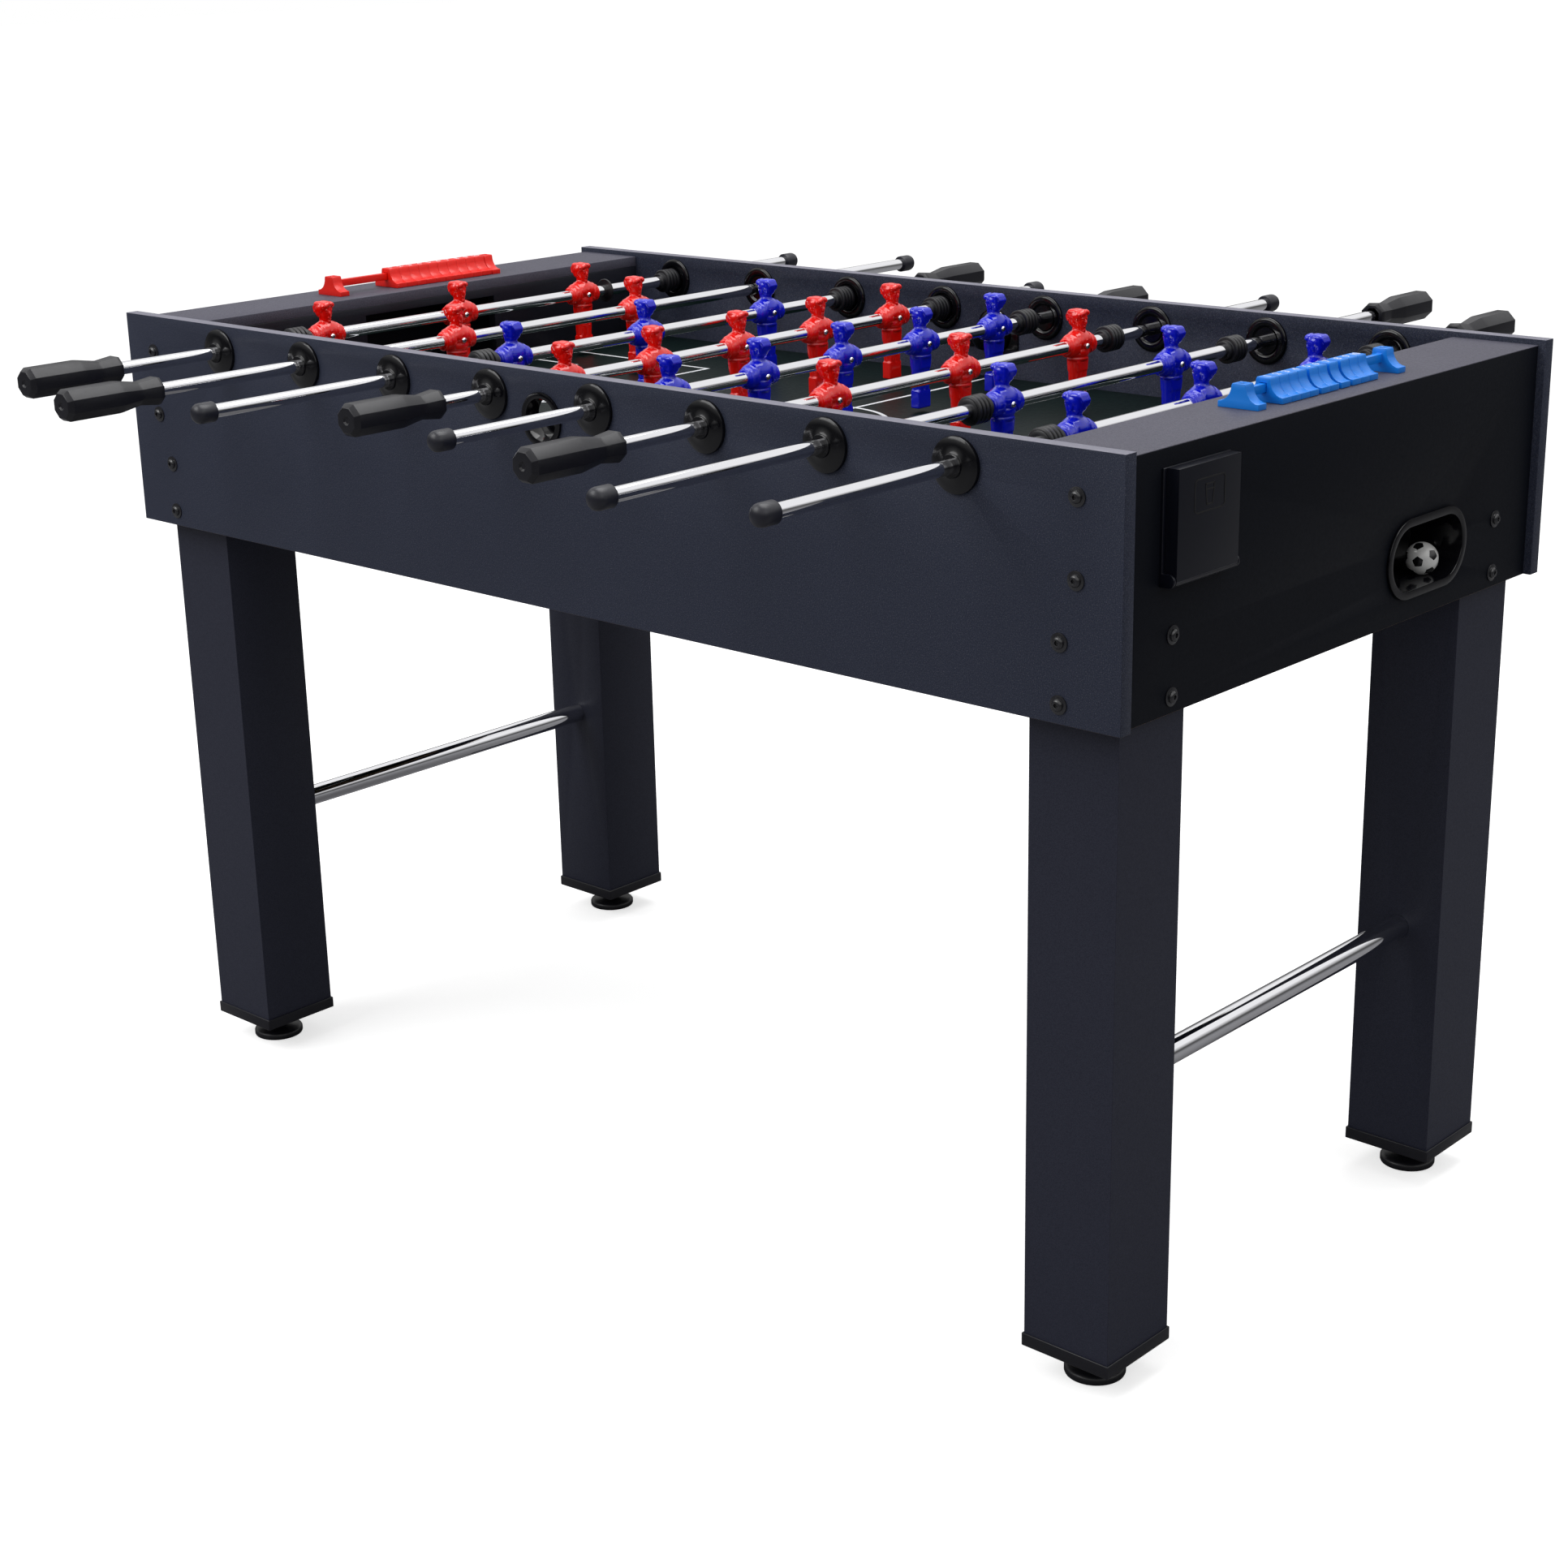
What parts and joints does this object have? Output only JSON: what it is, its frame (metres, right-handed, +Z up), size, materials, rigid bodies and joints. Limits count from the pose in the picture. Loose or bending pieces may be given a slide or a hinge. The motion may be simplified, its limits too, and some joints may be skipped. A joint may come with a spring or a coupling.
{
  "type": "foosball table",
  "caption": "Free-standing foosball table with sliding, spinning player rods, score markers, ball returns and fold-down cup holders.",
  "frame": {"origin": "on the floor under the middle of the table", "axes": "+X along the length towards the blue goal, +Y across towards the back, +Z up"},
  "size_m": [1.384, 1.328, 0.9028],
  "materials": {
    "panel_laminate": "matte black speckled laminate on board",
    "end_laminate": "smooth satin black laminate on board",
    "rail_laminate": "matte grey laminate on board",
    "leg_laminate": "satin dark laminate on board",
    "field_print": "dark green printed board with white lines",
    "raw_board": "bare fibreboard",
    "gloss_black_plastic": "glossy",
    "matte_black_plastic": "satin moulded",
    "black_rubber": "matte",
    "chrome_steel": "polished",
    "black_steel": "black oxide, satin",
    "red_man_plastic": "glossy",
    "blue_man_plastic": "glossy",
    "red_plastic": "satin gloss",
    "azure_plastic": "satin gloss",
    "ball_skin": "glossy with black spots"
  },
  "bodies": {
    "table": {"side_panel_front": "panel_laminate", "side_panel_back": "panel_laminate", "end_panel_left": "end_laminate", "end_panel_right": "end_laminate", "end_rails": "rail_laminate", "goal_walls": "end_laminate", "playfield": "field_print", "playfield_supports": "raw_board", "ball_returns": "gloss_black_plastic", "ball_entry_cups": "gloss_black_plastic", "legs": "leg_laminate", "leg_end_caps": "matte_black_plastic", "cross_bars": "chrome_steel", "rod_bearings": "gloss_black_plastic", "wall_bumpers": "black_rubber", "cabinet_bolts": "black_steel", "score_bar_red": "red_plastic", "score_bar_blue": "azure_plastic", "cup_holder_brackets": "matte_black_plastic", "ball": "ball_skin"},
    "rod_carriage_1": {"bumpers_1": "black_rubber"},
    "player_rod_1": {"rod_1": "chrome_steel", "men_1": "red_man_plastic", "grips_1": "matte_black_plastic"},
    "rod_carriage_2": {"end_cap_2": "matte_black_plastic"},
    "player_rod_2": {"rod_2": "chrome_steel", "men_2": "red_man_plastic", "grips_2": "matte_black_plastic"},
    "rod_carriage_3": {"bumpers_3": "black_rubber"},
    "player_rod_3": {"rod_3": "chrome_steel", "men_3": "blue_man_plastic", "grips_3": "matte_black_plastic"},
    "rod_carriage_4": {"bumpers_4": "black_rubber"},
    "player_rod_4": {"rod_4": "chrome_steel", "men_4": "red_man_plastic", "grips_4": "matte_black_plastic"},
    "rod_carriage_5": {"bumpers_5": "black_rubber"},
    "player_rod_5": {"rod_5": "chrome_steel", "men_5": "blue_man_plastic", "grips_5": "matte_black_plastic"},
    "rod_carriage_6": {"bumpers_6": "black_rubber"},
    "player_rod_6": {"rod_6": "chrome_steel", "men_6": "red_man_plastic", "grips_6": "matte_black_plastic"},
    "rod_carriage_7": {"bumpers_7": "black_rubber"},
    "player_rod_7": {"rod_7": "chrome_steel", "men_7": "blue_man_plastic", "grips_7": "matte_black_plastic"},
    "rod_carriage_8": {"bumpers_8": "black_rubber"},
    "player_rod_8": {"rod_8": "chrome_steel", "men_8": "blue_man_plastic", "grips_8": "matte_black_plastic"},
    "leveler_front_left": {"leveler_front_left": "black_rubber"},
    "leveler_front_right": {"leveler_front_right": "black_rubber"},
    "leveler_back_left": {"leveler_back_left": "black_rubber"},
    "leveler_back_right": {"leveler_back_right": "black_rubber"},
    "score_red": {"counters_red": "red_plastic"},
    "score_blue": {"counters_blue": "azure_plastic"},
    "cup_door_right": {"cup_holder_right": "matte_black_plastic"},
    "cup_door_left": {"cup_holder_left": "matte_black_plastic"}
  },
  "joints": [
    {"name": "rod_1_push_pull", "type": "slide", "parent": "table", "child": "rod_carriage_1", "axis": [0, 1, 0], "range_m": [-0.072, 0.0905]},
    {"name": "rod_1_spin", "type": "hinge", "parent": "rod_carriage_1", "child": "player_rod_1", "pos_m": [-0.51275, 0, 0.857], "axis": [0, 1, 0], "continuous": true},
    {"name": "rod_2_push_pull", "type": "slide", "parent": "table", "child": "rod_carriage_2", "axis": [0, 1, 0], "range_m": [-0.1415, 0.1775]},
    {"name": "rod_2_spin", "type": "hinge", "parent": "rod_carriage_2", "child": "player_rod_2", "pos_m": [-0.36625, 0, 0.857], "axis": [0, 1, 0], "continuous": true},
    {"name": "rod_3_push_pull", "type": "slide", "parent": "table", "child": "rod_carriage_3", "axis": [0, 1, 0], "range_m": [-0.089, 0.092]},
    {"name": "rod_3_spin", "type": "hinge", "parent": "rod_carriage_3", "child": "player_rod_3", "pos_m": [-0.21975, 0, 0.857], "axis": [0, 1, 0], "continuous": true},
    {"name": "rod_4_push_pull", "type": "slide", "parent": "table", "child": "rod_carriage_4", "axis": [0, 1, 0], "range_m": [-0.0275, 0.0405]},
    {"name": "rod_4_spin", "type": "hinge", "parent": "rod_carriage_4", "child": "player_rod_4", "pos_m": [-0.07325, 0, 0.857], "axis": [0, 1, 0], "continuous": true},
    {"name": "rod_5_push_pull", "type": "slide", "parent": "table", "child": "rod_carriage_5", "axis": [0, 1, 0], "range_m": [-0.0295, 0.0235]},
    {"name": "rod_5_spin", "type": "hinge", "parent": "rod_carriage_5", "child": "player_rod_5", "pos_m": [0.07325, 0, 0.857], "axis": [0, 1, 0], "continuous": true},
    {"name": "rod_6_push_pull", "type": "slide", "parent": "table", "child": "rod_carriage_6", "axis": [0, 1, 0], "range_m": [-0.102, 0.0645]},
    {"name": "rod_6_spin", "type": "hinge", "parent": "rod_carriage_6", "child": "player_rod_6", "pos_m": [0.21975, 0, 0.857], "axis": [0, 1, 0], "continuous": true},
    {"name": "rod_7_push_pull", "type": "slide", "parent": "table", "child": "rod_carriage_7", "axis": [0, 1, 0], "range_m": [-0.1785, 0.0695]},
    {"name": "rod_7_spin", "type": "hinge", "parent": "rod_carriage_7", "child": "player_rod_7", "pos_m": [0.36625, 0, 0.857], "axis": [0, 1, 0], "continuous": true},
    {"name": "rod_8_push_pull", "type": "slide", "parent": "table", "child": "rod_carriage_8", "axis": [0, 1, 0], "range_m": [-0.094, 0.0695]},
    {"name": "rod_8_spin", "type": "hinge", "parent": "rod_carriage_8", "child": "player_rod_8", "pos_m": [0.51275, 0, 0.857], "axis": [0, 1, 0], "continuous": true},
    {"name": "leveler_front_left_screw_out", "type": "slide", "parent": "table", "child": "leveler_front_left", "axis": [0, 0, -1], "range_m": [0, 0.012]},
    {"name": "leveler_front_right_screw_out", "type": "slide", "parent": "table", "child": "leveler_front_right", "axis": [0, 0, -1], "range_m": [0, 0.012]},
    {"name": "leveler_back_left_screw_out", "type": "slide", "parent": "table", "child": "leveler_back_left", "axis": [0, 0, -1], "range_m": [0, 0.012]},
    {"name": "leveler_back_right_screw_out", "type": "slide", "parent": "table", "child": "leveler_back_right", "axis": [0, 0, -1], "range_m": [0, 0.012]},
    {"name": "score_red_slide", "type": "slide", "parent": "table", "child": "score_red", "axis": [0, 1, 0], "range_m": [-0.0727, 0.0007]},
    {"name": "score_blue_slide", "type": "slide", "parent": "table", "child": "score_blue", "axis": [0, 1, 0], "range_m": [-0.0257, 0.0357]},
    {"name": "cup_holder_right_fold_down", "type": "hinge", "parent": "table", "child": "cup_door_right", "pos_m": [0.686, 0, 0.77], "axis": [0, 1, 0], "range_deg": [0, 90]},
    {"name": "cup_holder_left_fold_down", "type": "hinge", "parent": "table", "child": "cup_door_left", "pos_m": [-0.686, 0, 0.77], "axis": [0, -1, 0], "range_deg": [0, 90]}
  ]
}
